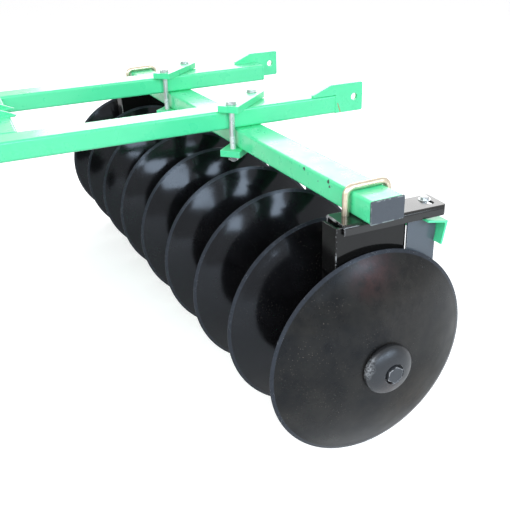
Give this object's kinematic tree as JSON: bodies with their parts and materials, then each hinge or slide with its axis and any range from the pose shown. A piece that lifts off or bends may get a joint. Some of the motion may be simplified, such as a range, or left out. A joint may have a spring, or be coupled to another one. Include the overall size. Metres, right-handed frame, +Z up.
{
  "type": "mounted disc harrow",
  "caption": "Tractor-mounted offset disc harrow: dished discs on two turning gangs under a pair of tube rails, with scrapers and a three-point headstock",
  "frame": {"origin": "bottom centre of the whole machine's bounding box, on the ground the discs stand on", "axes": "+X to the machine's right, along its width; +Y forwards, the way it is pulled; +Z up"},
  "size_m": [2.0502, 1.9486, 1.1443],
  "materials": {
    "green_paint": "light emerald gloss enamel on tubes and plates",
    "disc_black": "smooth glossy black paint on spring steel discs",
    "hanger_black": "semi-gloss black paint on pressed steel",
    "cast_black": "cast iron under thin black paint",
    "cap_plastic": "dark grey moulded plastic",
    "zinc": "bright zinc plate on pins",
    "yellow_zinc": "yellow passivated zinc on the U-bolts"
  },
  "bodies": {
    "frame": {"rear_beam": "green_paint", "rear_beam_cap_left": "cap_plastic", "rear_clamp_left": "green_paint", "rear_beam_cap_right": "cap_plastic", "rear_clamp_right": "green_paint", "rear_hanger_outer": "hanger_black", "rear_ubolt_outer": "yellow_zinc", "rear_hanger_inner": "hanger_black", "rear_ubolt_inner": "yellow_zinc", "rear_scrapers": "green_paint", "front_beam": "green_paint", "front_beam_cap_left": "cap_plastic", "front_clamp_left": "green_paint", "front_beam_cap_right": "cap_plastic", "front_clamp_right": "green_paint", "front_hanger_outer": "hanger_black", "front_ubolt_outer": "yellow_zinc", "front_hanger_inner": "hanger_black", "front_ubolt_inner": "yellow_zinc", "front_scrapers": "green_paint", "rail_left": "green_paint", "rear_lug_left": "green_paint", "lower_link_lug_left": "green_paint", "mast_left": "green_paint", "mast_brace_left": "green_paint", "lower_link_pin_left": "zinc", "rail_right": "green_paint", "rear_lug_right": "green_paint", "lower_link_lug_right": "green_paint", "mast_right": "green_paint", "mast_brace_right": "green_paint", "lower_link_pin_right": "zinc", "headstock_tube": "green_paint", "middle_tube": "green_paint", "top_link_pin": "zinc"},
    "rear_gang": {"rear_disc_1": "disc_black", "rear_disc_2": "disc_black", "rear_disc_3": "disc_black", "rear_disc_4": "disc_black", "rear_disc_5": "disc_black", "rear_disc_6": "disc_black", "rear_disc_7": "disc_black", "rear_disc_8": "disc_black", "rear_disc_9": "disc_black", "rear_axle": "cast_black", "rear_end_bell": "cast_black", "rear_end_washer": "cast_black"},
    "front_gang": {"front_disc_1": "disc_black", "front_disc_2": "disc_black", "front_disc_3": "disc_black", "front_disc_4": "disc_black", "front_disc_5": "disc_black", "front_disc_6": "disc_black", "front_disc_7": "disc_black", "front_disc_8": "disc_black", "front_disc_9": "disc_black", "front_axle": "cast_black", "front_end_bell": "cast_black", "front_end_washer": "cast_black"}
  },
  "joints": [
    {"name": "rear_gang_spin", "type": "hinge", "parent": "frame", "child": "rear_gang", "pos_m": [-0.065, -0.583, 0.255], "axis": [0.9983, 0.0576, 0], "continuous": true},
    {"name": "front_gang_spin", "type": "hinge", "parent": "frame", "child": "front_gang", "pos_m": [0.065, 0.517, 0.255], "axis": [0.9983, -0.0576, 0], "continuous": true}
  ]
}
